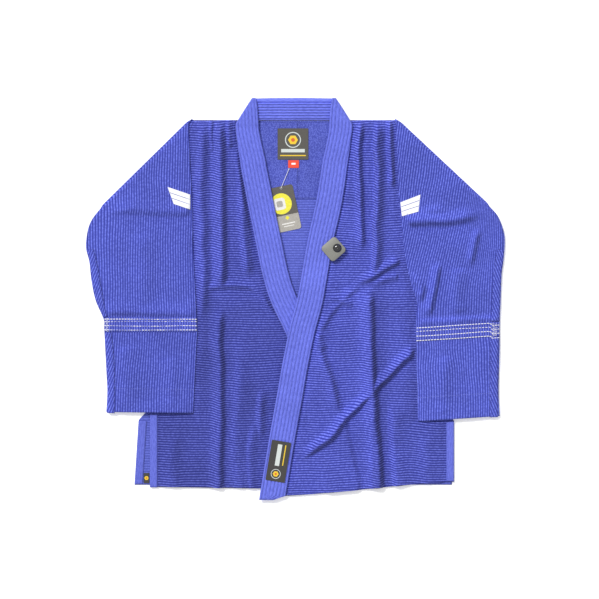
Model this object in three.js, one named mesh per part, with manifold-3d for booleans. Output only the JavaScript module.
// A grappling jacket laid flat on its back, with both sleeves folded down over the front.
// Millimetres. +X to the wearer's left, +Y to the collar, +Z up. The origin is on the
// underside of the back panel, on the centre line, halfway between collar and lapel end.
// "left" and "right" in the names are the wearer's.
import * as THREE from "three";
import Module from "manifold-3d";
import { mergeVertices } from "three/addons/utils/BufferGeometryUtils.js";

const wasm = await Module();
wasm.setup();

// ---- overall sizes; the pattern below is drawn for 554 by 783 and graded to these ----
const chestWidth = 554; // armpit to armpit
const bodyLength = 783; // top of the collar to the end of the outer lapel
const widthGrade = chestWidth / 554;
const lengthGrade = bodyLength / 783;

// ---- cloth, tape and label thicknesses ----
const cloth = 1.2; // woven body and sleeve cloth
const lining = 0.6; // yoke lining, hem facing and armpit gussets
const tape = 0.8; // vent tapes and felled seam bands
const label = 0.6; // woven labels and patches
const card = 0.5; // printed hang tag
const gap = 0.3; // air between pieces that lie on each other

// ---- collar and lapels ----
const lapelWidth = 50;
const lapelThick = 5;
const lapelTuck = 12; // how far the front cloth runs in under its lapel
const coverWall = 1; // lapel cover above and below the core
const coverEdge = 2; // lapel cover at its two long edges
const coreSlack = 0.4; // air round the core
const drapeShoulder = 13; // level cloth past the edge of a lapel under it
const drapeSlope = 24; // and the slope from there down
const drapeSlack = 0.8; // extra air under a lapel that bridges a slope
const drapeCell = 16; // longest side of a facet where cloth is draped

// ---- fold lines ----
const foldGapSide = 1.5; // from a front's fold line to the part that stays
const foldGapFlap = 0.4; // from there to the part that turns
const sleeveFoldGap = 0.6;

// ---- trims ----
const ventTapeWidth = 15;
const hemDepth = 25;
const stitchBandWidth = 25;
const underarmSeamWidth = 14;
const neckLabelSize = [60, 61];
const sizeTabSize = [21, 15];
const lapelPatchSize = [40, 80];
const lapelPatchAlong = 0.155; // of the outer lapel's length, from its end
const flagSize = [11, 20];

// ---- hang tag ----
const hangTagSize = [46, 88];
const hangTagCorner = 5;
const hangTagHole = 1.6; // radius
const hangTagHoleDrop = 3.6; // below the card's top edge
const hangTagTurn = 0.21; // radians, the card's foot towards the wearer's left
const stringLength = 40;
const stringLean = 0.39; // radians from straight down, to the wearer's right
const stringRadius = 0.5;
const knotRadius = 1.5;
const knotHeight = 2;

// ---- security tag ----
const tagSide = 37;
const tagCorner = 7;
const tagTurn = 0.72; // radians
const tagBaseThick = 1.8;
const tagCoverThick = 2.4;
const domeRadius = 7.5;
const domeHeight = 6;
const clutchRadius = 4;
const clutchHeight = 5.5;
const coilRadius = [11.8, 14];
const coilThick = 1;
const pinOffset = [7, 2]; // from the tag's middle
const pinRadius = 0.6;
const pinHoleRadius = 0.9;
const pinHeadRadius = 5;

// ---- the pattern, graded ----
const wide = (x) => x * widthGrade;
const long = (y) => y * lengthGrade;
const graded = (points) => points.map(([x, y]) => [wide(x), long(y)]);

const collarTopY = long(392);
const collarTopHalf = wide(80);
const shoulderY = long(348);
const shoulderHalf = wide(195);
const neckHalf = wide(112); // where the lapels leave the shoulder seam
const lapelSplitY = long(265); // a lapel turns with its front below here
const armpitY = long(150);
const chestHalf = chestWidth / 2;
const ventTopY = long(-224);
const waistHalf = wide(286); // at the top of the vents
const hemY = long(-367); // front hem at the side
const outerHemDrop = 16; // the outer front hangs lower than that at its lapel
const [yokeHalf, yokeBottomY, yokeSeamX] = [wide(108), long(195), wide(8)];
const [neckLabelAt, tagAt] = graded([[-2, 302], [77, 97]]);

// Centre lines of the lapels, from the shoulder down.
const outerLapel = graded([[91, 330], [81, 271], [69, 193], [50, 105], [32, 2], [16, -60],
  [2, -129], [-8, -187], [-22, -265], [-35, -343], [-43, -391]]);
const underLapel = graded([[-91, 330], [-81, 271], [-66, 193], [-48, 105], [-35, 45], [-20, 0],
  [8, -60], [36, -135], [55, -200], [94, -360]]);

// What differs between the two sides; x is measured outwards from the centre line.
const sides = {
  right: {
    sign: -1,
    frontHem: graded([[281, -367]])[0],
    backHemHalf: wide(311),
    frontFold: graded([[113, 347], [203, -361]]),
    sleeveFold: graded([[199, 350], [378, 174]]),
    elbow: graded([[392, 156], [400, 138], [404, 115], [404, 96], [398, 72], [394, 37], [386, -2]]),
    cuffOuter: graded([[370, -40], [369, -60], [365, -138], [363, -180], [365, -220]]),
    inner: graded([[205, 339], [204, 291], [199, 193], [197, 96], [192, -2], [189, -60],
      [191, -99], [197, -222]]),
    bandY: long(-50),
    seam: graded([[390, 96], [382, 66], [374, 18], [367, -21], [355, -70], [349, -138],
      [349, -205]]),
    wing: graded([[234, 185], [213, 177], [202, 174], [202, 201], [205, 207], [222, 214],
      [246, 218]]),
  },
  left: {
    sign: 1,
    frontHem: graded([[312, -355]])[0],
    backHemHalf: wide(308),
    frontFold: graded([[113, 347], [246, -361]]),
    sleeveFold: graded([[198, 350], [382, 178]]),
    elbow: graded([[396, 162], [406, 138], [410, 115], [408, 80], [404, 47], [402, -2]]),
    cuffOuter: graded([[400, -52], [400, -70], [400, -99], [398, -177], [400, -228]]),
    inner: graded([[199, 338], [201, 280], [205, 193], [211, 135], [216, 86], [228, 30],
      [240, -10], [238, -60], [242, -238]]),
    bandY: long(-64),
    seam: graded([[396, 96], [390, 66], [386, 18], [384, -40], [382, -80], [381, -150],
      [381, -215]]),
    wing: graded([[242, 170], [226, 164], [212, 160], [209, 187], [216, 195], [244, 201]]),
  },
};

// ---- heights of the layers ----
const liningZ = cloth + gap;
const frontZ = liningZ + lining + gap; // underside of a front that lies on the lining
const secondZ = frontZ + cloth + gap; // underside of what lies on a front
const overLapelZ = secondZ + lapelThick + gap; // underside of cloth over the inner lapel
const sleeveFrontZ = secondZ + cloth + gap; // a folded sleeve's upper layer
const onSleeveZ = sleeveFrontZ + cloth + gap;

// ---- tools ----
const { lerp, clamp, smoothstep } = THREE.MathUtils;
const vector = ([x, y]) => new THREE.Vector2(x, y);

// x of a smooth line through points that run down the jacket, at a given y.
function lineX(points, smooth = true) {
  const corners = points.map(vector);
  const fine = smooth ? new THREE.SplineCurve(corners).getPoints(12 * points.length) : corners;
  fine.sort((a, b) => b.y - a.y);
  return (y) => {
    if (y >= fine[0].y) return fine[0].x;
    const i = fine.findIndex((p) => p.y <= y);
    if (i < 0) return fine.at(-1).x;
    const [a, b] = [fine[i - 1], fine[i]];
    return lerp(a.x, b.x, (y - a.y) / (b.y - a.y));
  };
}

const straightX = ([[x0, y0], [x1, y1]]) => (y) => lerp(x0, x1, (y0 - y) / (y0 - y1));

// A box of columns by rows whose points are moved by place(u, v, w), each from 0 to 1.
function shaped(columns, rows, place) {
  const geometry = new THREE.BoxGeometry(1, 1, 1, columns, rows, 1);
  const at = geometry.attributes.position;
  for (let i = 0; i < at.count; i++) {
    at.setXYZ(i, ...place(at.getX(i) + 0.5, at.getY(i) + 0.5, at.getZ(i) + 0.5));
  }
  geometry.computeVertexNormals();
  return geometry;
}

// Cloth between two edges, lying at under(x, y).
function clothBetween({ left, right, bottom, top, under, thick, columns = 1, rows = 8 }) {
  return shaped(columns, rows, (u, v, w) => {
    const y = lerp(bottom(u), top, v);
    const x = lerp(left(y), right(y), u);
    return [x, y, under(x, y) + w * thick];
  });
}

function plate(shape, z, thick) {
  const settings = { depth: thick, bevelEnabled: false, curveSegments: 6 };
  return new THREE.ExtrudeGeometry(shape, settings).translate(0, 0, z);
}

const outline = (points, z, thick) => plate(new THREE.Shape(points.map(vector)), z, thick);

function rectangle([width, height], [x, y]) {
  const [a, b] = [width / 2, height / 2];
  return [[x - a, y - b], [x + a, y - b], [x + a, y + b], [x - a, y + b]];
}

function rounded([width, height], corner) {
  const [a, b] = [width / 2 - corner, height / 2 - corner];
  const shape = new THREE.Shape();
  [[a, b], [-a, b], [-a, -b], [a, -b]].forEach(([x, y], i) => {
    shape.absarc(x, y, corner, (i * Math.PI) / 2, ((i + 1) * Math.PI) / 2);
  });
  return shape;
}

// A shape made for the wearer's left, put on the side that sign says.
function onSide(geometry, sign) {
  if (sign > 0) return geometry;
  const made = geometry.index ? geometry.toNonIndexed() : geometry;
  const at = made.attributes.position;
  for (let i = 0; i < at.count; i += 3) {
    const corners = [0, 2, 1].map((k) => [-at.getX(i + k), at.getY(i + k), at.getZ(i + k)]);
    corners.forEach((corner, k) => at.setXYZ(i + k, ...corner));
  }
  made.computeVertexNormals();
  return made;
}

function solid(geometry) {
  const bare = geometry.clone();
  ["normal", "uv"].forEach((name) => bare.deleteAttribute(name));
  const merged = mergeVertices(bare, 1e-3);
  return new wasm.Manifold(new wasm.Mesh({
    numProp: 3,
    vertProperties: new Float32Array(merged.attributes.position.array),
    triVerts: new Uint32Array(merged.index.array),
  }));
}

function geometryOf(manifold) {
  const mesh = manifold.getMesh();
  const geometry = new THREE.BufferGeometry();
  const points = new Float32Array(mesh.vertProperties);
  geometry.setAttribute("position", new THREE.BufferAttribute(points, 3));
  geometry.setIndex(new THREE.BufferAttribute(new Uint32Array(mesh.triVerts), 1));
  geometry.computeVertexNormals();
  return geometry;
}

const cut = (geometry, tool) => geometryOf(solid(geometry).subtract(solid(tool)));

// A round bar or bore along Z.
function post([x, y], radius, z0, z1, facets = 20) {
  const bar = new THREE.CylinderGeometry(radius, radius, z1 - z0, facets);
  return bar.rotateX(Math.PI / 2).translate(x, y, (z0 + z1) / 2);
}

// ---- materials ----
const finish = (color, roughness, metalness = 0) =>
  new THREE.MeshStandardMaterial({ color, roughness, metalness });
const blue = finish(0x4650bd, 0.9);
const paleBlue = finish(0x5a63cf, 0.9);
const white = finish(0xf2f2f2, 0.8);
const darkLabel = finish(0x3f3d3a, 0.9);
const red = finish(0xe04028, 0.8);
const foam = finish(0x2a2a2a, 1);
const paper = finish(0xb9b7a8, 0.6);
const greyPlastic = finish(0x8f8f86, 0.5);
const steel = finish(0xb0b0b0, 0.3, 1);

const jacket = new THREE.Group();
function add(name, geometry, material) {
  const mesh = new THREE.Mesh(geometry, material);
  mesh.name = name;
  jacket.add(mesh);
}

// ---- back, yoke and labels ----
const backHemY = hemY + 5; // the back is a little shorter than the fronts
const ventFlare = 8; // how far the back's vent edge leans out on its way down

function backPanel() {
  const side = ({ backHemHalf }) => [
    [backHemHalf, backHemY], [backHemHalf - ventFlare, ventTopY - 12],
    [waistHalf, ventTopY + 6], [chestHalf, armpitY], [shoulderHalf, shoulderY],
  ];
  const mirrored = side(sides.right).map(([x, y]) => [-x, y]).reverse();
  return outline([...side(sides.left), ...mirrored], 0, cloth);
}

function yokeLining(from, to) {
  const topY = shoulderY - 4;
  return outline([[from, yokeBottomY], [to, yokeBottomY], [to, topY], [from, topY]],
    liningZ, lining);
}

const sizeTabAt = [
  neckLabelAt[0] + 1,
  neckLabelAt[1] - (neckLabelSize[1] + sizeTabSize[1]) / 2 - 1,
];

add("back_panel", backPanel(), blue);
add("yoke_lining_right", yokeLining(-yokeHalf, yokeSeamX - gap), paleBlue);
add("yoke_lining_left", yokeLining(yokeSeamX + gap, yokeHalf), paleBlue);
add("neck_label", outline(rectangle(neckLabelSize, neckLabelAt), frontZ, label), darkLabel);
add("size_tab", outline(rectangle(sizeTabSize, sizeTabAt), frontZ, label), red);

// ---- collar ----
// A cover, open at both ends, with its core inside. place maps a unit box to the band, which is
// widthAt(v) wide.
function paddedBand(columns, rows, place, widthAt) {
  const inside = (slack, past) => (u, v, w) => {
    const atEnd = v < 0.001 ? -past : v > 0.999 ? past : 0;
    const edge = (coverEdge + slack) / widthAt(v);
    const wall = (coverWall + slack) / lapelThick;
    return place(lerp(edge, 1 - edge, u), v + atEnd, lerp(wall, 1 - wall, w));
  };
  const whole = shaped(columns, rows, place);
  return {
    cover: cut(whole, shaped(columns, rows, inside(0, 0.01))),
    core: shaped(columns, rows, inside(coreSlack, -0.01)),
  };
}

function neckBand() {
  const bottomY = shoulderY + 1;
  const place = (u, v, w) => {
    const half = lerp(collarTopHalf - 4, collarTopHalf, u);
    return [lerp(half, -half, v), lerp(bottomY, collarTopY, u), w * lapelThick];
  };
  return paddedBand(2, 6, place, () => collarTopY - bottomY);
}

// From the end of the neck band, which it covers, down to where the lapel starts to turn.
function shoulderCollar(lapelTopX) {
  const [topY, endY] = [collarTopY - 2, lapelSplitY + 1];
  const outer = lineX([[collarTopHalf, topY], ...graded([[92, 372], [107, 347], [113, 330],
    [109, 300]]), [lapelTopX + lapelWidth / 2, endY]]);
  const inner = lineX([[collarTopHalf - 10, topY], ...graded([[70, 347], [68, 320]]),
    [lapelTopX - lapelWidth / 2, endY]]);
  const under = (y) => lerp(secondZ, lapelThick + gap, smoothstep(y, shoulderY - 18, shoulderY));
  const place = (u, v, w) => {
    const y = lerp(endY, topY, v);
    return [lerp(inner(y), outer(y), u), y, under(y) + w * lapelThick];
  };
  const widthAt = (v) => outer(lerp(endY, topY, v)) - inner(lerp(endY, topY, v));
  return paddedBand(2, 20, place, widthAt);
}

// ---- lapels ----
// The lapel's path from its lower end up to the shoulder collar, its ends cut straight across.
function lapelPath(points) {
  const curve = new THREE.SplineCurve(points.map(vector));
  const fine = curve.getPoints(200).filter((p) => p.y <= lapelSplitY - 0.5).reverse();
  const last = fine.length - 1;
  const level = new THREE.Vector2(1, 0);
  const at = (share) => {
    const i = clamp(Math.floor(share * last), 0, last - 1);
    const [a, b] = [fine[i], fine[i + 1]];
    const along = b.clone().sub(a).normalize();
    const across = new THREE.Vector2(along.y, -along.x);
    const squared = 1 - smoothstep(share, 0, 0.08) + smoothstep(share, 0.92, 1);
    return { point: a.clone().lerp(b, share * last - i), across: across.lerp(level, squared) };
  };
  return { at, fine };
}

const outerPath = lapelPath(outerLapel);
const underPath = lapelPath(underLapel);

function nearest(path, x, y) {
  const distances = path.fine.map((p) => Math.hypot(p.x - x, p.y - y));
  const distance = Math.min(...distances);
  return { distance, share: distances.indexOf(distance) / (distances.length - 1) };
}

// Underside of cloth that lies on the inner front and over its lapel.
function groundZ(x, y) {
  const { distance, share } = nearest(underPath, x, y);
  const covered = x < underPath.at(share).point.x;
  const plateau = lapelWidth / 2 + drapeShoulder;
  const over = 1 - smoothstep(distance, plateau, plateau + drapeSlope);
  return lerp(covered ? secondZ : frontZ, overLapelZ, over);
}

// The outer lapel is level across, so it lies on the highest ground under its width.
const outerLift = outerPath.fine.map((_, i, { length }) => {
  const { point, across } = outerPath.at(i / (length - 1));
  const under = [-0.5, -0.25, 0, 0.25, 0.5].map((k) => {
    const p = point.clone().addScaledVector(across, k * lapelWidth);
    return groundZ(p.x, p.y);
  });
  return Math.max(...under) + cloth + gap + drapeSlack;
});

function outerLapelZ(share) {
  const last = outerLift.length - 1;
  const i = clamp(Math.floor(share * last), 0, last - 1);
  return lerp(outerLift[i], outerLift[i + 1], clamp(share * last - i, 0, 1));
}

const alongLapel = (path, liftAt) => (u, v, w) => {
  const { point, across } = path.at(v);
  const p = point.clone().addScaledVector(across, (u - 0.5) * lapelWidth);
  return [p.x, p.y, liftAt(v) + w * lapelThick];
};

function lapelPatch() {
  const { point, across } = outerPath.at(lapelPatchAlong);
  const z = outerLapelZ(lapelPatchAlong) + lapelThick + gap;
  return outline(rectangle(lapelPatchSize, [0, 0]), 0, label)
    .rotateZ(Math.atan2(across.y, across.x)).translate(point.x, point.y, z);
}

const facets = (length) => Math.ceil(length / drapeCell);
const outerBand = paddedBand(2, facets(long(660)), alongLapel(outerPath, outerLapelZ),
  () => lapelWidth);
const underBand = paddedBand(2, 18, alongLapel(underPath, () => secondZ), () => lapelWidth);
add("lapel_left_cover", outerBand.cover, paleBlue);
add("lapel_left_core", outerBand.core, foam);
add("lapel_right_cover", underBand.cover, paleBlue);
add("lapel_right_core", underBand.core, foam);
add("lapel_patch", lapelPatch(), darkLabel);

const neck = neckBand();
add("collar_neck_cover", neck.cover, paleBlue);
add("collar_neck_core", neck.core, foam);
for (const [side, path] of Object.entries({ right: underPath, left: outerPath })) {
  const { sign } = sides[side];
  const collar = shoulderCollar(sign * path.at(1).point.x);
  add(`collar_shoulder_${side}_cover`, onSide(collar.cover, sign), paleBlue);
  add(`collar_shoulder_${side}_core`, onSide(collar.core, sign), foam);
}

// ---- the fronts' panels, which open ----
// Underside of the outer front: on the ground, and lifted towards its own lapel.
function outerFrontZ(x, y) {
  const { distance, share } = nearest(outerPath, x, y);
  const ground = groundZ(x, y);
  const lifted = Math.max(ground, outerLapelZ(share) - cloth - gap - drapeSlack);
  const plateau = lapelWidth / 2 + drapeShoulder;
  return lerp(lifted, ground, smoothstep(distance, plateau, lapelWidth + drapeSlope));
}

// The front's edge, which runs a tuck's width in under the lapel.
function tuckedEdge(path, outwards) {
  const offset = outwards * (lapelWidth / 2 - lapelTuck);
  const shares = Array.from({ length: 25 }, (_, i) => i / 24);
  return lineX(shares.map((share) => {
    const { point, across } = path.at(share);
    return [point.x + offset * across.x, point.y + offset * across.y];
  }), false);
}

const pinAt = tagAt.map((value, i) => value + pinOffset[i]);
const pinBore = post(pinAt, pinHoleRadius, -5, 40, 12);

function outerFront() {
  const fold = straightX(sides.left.frontFold);
  const left = tuckedEdge(outerPath, 1);
  const panel = clothBetween({
    left,
    right: (y) => fold(y) - foldGapFlap,
    bottom: (u) => lerp(hemY - outerHemDrop, hemY + 4, u),
    top: lapelSplitY - 1,
    under: outerFrontZ,
    thick: cloth,
    columns: facets(fold(hemY) - left(hemY)),
    rows: facets(lapelSplitY - hemY),
  });
  return cut(panel, pinBore);
}

function innerFront() {
  const fold = straightX(sides.right.frontFold);
  return clothBetween({
    left: (y) => foldGapFlap - fold(y),
    right: tuckedEdge(underPath, -1),
    bottom: () => hemY - 2,
    top: lapelSplitY - 1,
    under: () => frontZ,
    thick: cloth,
    rows: 16,
  });
}

add("front_left_panel", outerFront(), blue);
add("front_right_panel", innerFront(), blue);

// ---- the fronts' sides, which stay, with sleeve roots, gussets and vent tapes ----
function frontSide({ frontFold, frontHem }) {
  const fold = straightX(frontFold);
  const topY = lapelSplitY + 2;
  return outline([
    [fold(hemY - 1) + foldGapSide, hemY - 1], frontHem, [frontHem[0], ventTopY - 8],
    [waistHalf - 2, ventTopY + 6], [chestHalf - 1, armpitY], [shoulderHalf - 1, shoulderY - 1],
    [neckHalf - lapelTuck, shoulderY - 1], [neckHalf - lapelTuck - 8, topY],
    [fold(topY) + foldGapSide, topY],
  ], frontZ, cloth);
}

// A sleeve's cloth between the armhole and the fold line, kept clear of both.
function sleeveRoot({ sleeveFold }, z) {
  const armhole = straightX([[shoulderHalf, shoulderY], [chestHalf, armpitY]]);
  const [start, end] = sleeveFold.map(vector);
  const along = end.clone().sub(start).normalize();
  const inwards = new THREE.Vector2(along.y, -along.x).multiplyScalar(sleeveFoldGap + 0.4);
  const top = start.clone().addScaledVector(along, 9).add(inwards);
  const low = end.clone().add(inwards);
  return outline([[armhole(top.y) + 2 * gap, top.y], [chestHalf + 2 * gap, armpitY],
    [low.x - 4, armpitY + 14], [low.x, low.y], [top.x, top.y]], z, cloth);
}

function armpitGusset() {
  const edge = chestHalf - 8;
  return outline([[edge, armpitY + 60], [edge - 52, armpitY + 30], [edge - 42, armpitY - 40],
    [edge, armpitY - 60]], liningZ, lining);
}

function ventTape([topX, topY], [lowX, lowY], z) {
  return outline([[lowX - ventTapeWidth, lowY], [lowX, lowY], [topX, topY],
    [topX - ventTapeWidth, topY]], z, tape);
}

for (const [side, data] of Object.entries(sides)) {
  const place = (name, geometry, material) => add(name, onSide(geometry, data.sign), material);
  const { frontHem, backHemHalf } = data;
  place(`front_${side}_side`, frontSide(data), blue);
  place(`sleeve_${side}_root_back`, sleeveRoot(data, 0), blue);
  place(`sleeve_${side}_root_front`, sleeveRoot(data, frontZ), blue);
  place(`armpit_gusset_${side}`, armpitGusset(), paleBlue);
  place(`front_vent_tape_${side}`,
    ventTape([frontHem[0], ventTopY - 17], frontHem, secondZ), paleBlue);
  place(`back_vent_tape_${side}`, ventTape([backHemHalf - ventFlare - 1, ventTopY - 14],
    [backHemHalf - 1, backHemY + 1], liningZ), paleBlue);
}

// ---- hem facing, and the flag label at the back vent tape on the wearer's right ----
const tapeInner = ({ backHemHalf }) => backHemHalf - ventFlare - ventTapeWidth;
const flagRight = tapeInner(sides.right) + 5;
const hemFacing = [[flagRight - flagSize[0] - 7, backHemY + 2], [tapeInner(sides.left) - 1,
  backHemY + 2 + hemDepth]];

function backHemFacing() {
  const [[right, low], [left, high]] = hemFacing;
  return outline([[-right, low], [left, low], [left, high], [-right, high]], liningZ, lining);
}

function ventFlag() {
  const middle = [-flagRight + flagSize[0] / 2, backHemY + 3 + flagSize[1] / 2];
  return outline(rectangle(flagSize, middle), liningZ, label);
}

add("back_hem_facing", backHemFacing(), blue);
add("vent_flag_label", ventFlag(), darkLabel);

// ---- sleeves, folded down over the body ----
function sleeveEdges({ sleeveFold, elbow, cuffOuter, inner }) {
  const fold = straightX(sleeveFold);
  const [, [, foldEndY]] = sleeveFold;
  const foldFoot = [fold(foldEndY) - 1, foldEndY - 3];
  const below = lineX([foldFoot, ...elbow, ...cuffOuter]);
  return {
    inner: lineX(inner),
    outer: (y) => (y > foldFoot[1] ? fold(y) - sleeveFoldGap - 1 : below(y)),
  };
}

function sleevePiece(edges, inset, bottom, top, z, thick, rows) {
  return clothBetween({
    left: (y) => edges.inner(y) + inset,
    right: (y) => Math.max(edges.outer(y), edges.inner(y) + 2 * inset + 1) - inset,
    bottom,
    top,
    under: () => z,
    thick,
    rows,
  });
}

// The felled underarm seam, above or below the stitched band.
function underarmSeam({ seam }, edges, top, bottom) {
  const seamX = lineX(seam);
  return clothBetween({
    left: (y) => seamX(y) - 1,
    right: (y) => Math.min(edges.outer(y) - 1, seamX(y) + underarmSeamWidth),
    bottom: () => bottom,
    top,
    under: () => onSleeveZ,
    thick: tape,
  });
}

for (const [side, data] of Object.entries(sides)) {
  const { sign, bandY, inner, cuffOuter, seam, wing } = data;
  const edges = sleeveEdges(data);
  const place = (name, geometry, material) => add(name, onSide(geometry, sign), material);
  const topY = data.sleeveFold[0][1] - 10;
  const cuffEnd = (inset) => (u) => lerp(inner.at(-1)[1], cuffOuter.at(-1)[1], u) + inset;
  const layers = [["back", secondZ, 1], ["front", sleeveFrontZ, 0]];
  for (const [layer, z, inset] of layers) {
    place(`sleeve_${side}_upper_${layer}`,
      sleevePiece(edges, inset, () => bandY + gap, topY, z, cloth, 22), blue);
    place(`cuff_${side}_${layer}`,
      sleevePiece(edges, inset, cuffEnd(inset), bandY - gap, z, cloth, 8), blue);
  }
  const [bandTop, bandLow] = [bandY + stitchBandWidth / 2, bandY - stitchBandWidth / 2];
  place(`sleeve_${side}_stitch_band`,
    sleevePiece(edges, 0.5, () => bandLow, bandTop, onSleeveZ, tape, 3), white);
  place(`sleeve_${side}_underarm_seam`,
    underarmSeam(data, edges, seam[0][1], bandTop + 1), blue);
  place(`cuff_${side}_underarm_seam`,
    underarmSeam(data, edges, bandLow - 1, seam.at(-1)[1]), blue);
  place(`wing_patch_${side}`, outline(wing, onSleeveZ, label), white);
}

// ---- hang tag on its string, which is knotted just below the size tab ----
const hangTagPivot = [sizeTabAt[0] - 9, sizeTabAt[1] - sizeTabSize[1] / 2 - knotRadius - 1];
const stringEnd = [
  hangTagPivot[0] - stringLength * Math.sin(stringLean),
  hangTagPivot[1] - stringLength * Math.cos(stringLean),
];

function hangTagCard() {
  const holeY = hangTagSize[1] / 2 - hangTagHoleDrop;
  const shape = rounded(hangTagSize, hangTagCorner);
  shape.holes.push(new THREE.Path().absarc(0, holeY, hangTagHole, 0, 2 * Math.PI, true));
  return plate(shape, 0, card).translate(0, -holeY, 0).rotateZ(hangTagTurn)
    .translate(...stringEnd, frontZ);
}

function hangTagString() {
  const z = frontZ + card + gap + stringRadius;
  const clear = (knotRadius + gap) / stringLength;
  const [from, to] = [hangTagPivot, stringEnd].map(([x, y]) => new THREE.Vector3(x, y, z));
  const stops = [clear, 0.5, 1].map((share) => from.clone().lerp(to, share));
  const section = new THREE.Shape().absarc(0, 0, stringRadius, 0, 2 * Math.PI);
  return new THREE.ExtrudeGeometry(section, {
    extrudePath: new THREE.CatmullRomCurve3(stops), steps: 16, curveSegments: 8,
    bevelEnabled: false,
  });
}

add("hang_tag_card", hangTagCard(), paper);
add("hang_tag_string", hangTagString(), white);
add("hang_tag_knot", post(hangTagPivot, knotRadius, frontZ, frontZ + knotHeight, 12), white);

// ---- security tag on its pin ----
const tagReach = tagSide / Math.SQRT2;
const tagLow = nearest(outerPath, tagAt[0] - tagReach, tagAt[1] - tagReach);
const tagZ = outerLapelZ(tagLow.share) + lapelThick + gap;
const coverZ = tagZ + tagBaseThick + gap;

const tagPlate = (z, thick) => plate(rounded([tagSide, tagSide], tagCorner), z, thick)
  .rotateZ(tagTurn).translate(...tagAt, 0);

function tagDome() {
  const profile = [new THREE.Vector2(0, 0)];
  for (let i = 0; i < 6; i++) {
    const turn = (i / 6) * (Math.PI / 2);
    profile.push(new THREE.Vector2(domeRadius * Math.cos(turn), domeHeight * Math.sin(turn)));
  }
  profile.push(new THREE.Vector2(0, domeHeight));
  return new THREE.LatheGeometry(profile, 24).rotateX(Math.PI / 2)
    .translate(...pinAt, coverZ + tagCoverThick - 0.2);
}

// The flat resonant coil round the clutch, or the seat for it.
function coilRing(z0, z1, slack) {
  const [inside, outside] = coilRadius;
  return cut(post(tagAt, outside + slack, z0, z1, 32),
    post(tagAt, inside - slack, z0 - 1, z1 + 1, 32));
}

function tagCover() {
  const clutchSeat = post(pinAt, clutchRadius + gap, coverZ - 1, coverZ + clutchHeight + 2 * gap);
  const coilSeat = coilRing(coverZ - 1, coverZ + coilThick + gap, gap);
  const cover = solid(tagPlate(coverZ, tagCoverThick)).add(solid(tagDome()));
  return geometryOf(cover.subtract(solid(clutchSeat)).subtract(solid(coilSeat)));
}

function securityPin() {
  const head = solid(post(pinAt, pinHeadRadius, liningZ, liningZ + lining));
  const shaft = solid(post(pinAt, pinRadius, liningZ, coverZ + clutchHeight - 1, 12));
  return geometryOf(head.add(shaft));
}

add("tag_base", cut(tagPlate(tagZ, tagBaseThick), pinBore), greyPlastic);
add("tag_cover", tagCover(), greyPlastic);
add("tag_coil", coilRing(coverZ, coverZ + coilThick, 0), steel);
add("tag_clutch",
  cut(post(pinAt, clutchRadius, coverZ, coverZ + clutchHeight), pinBore), steel);
add("security_pin", securityPin(), steel);

export default jacket;
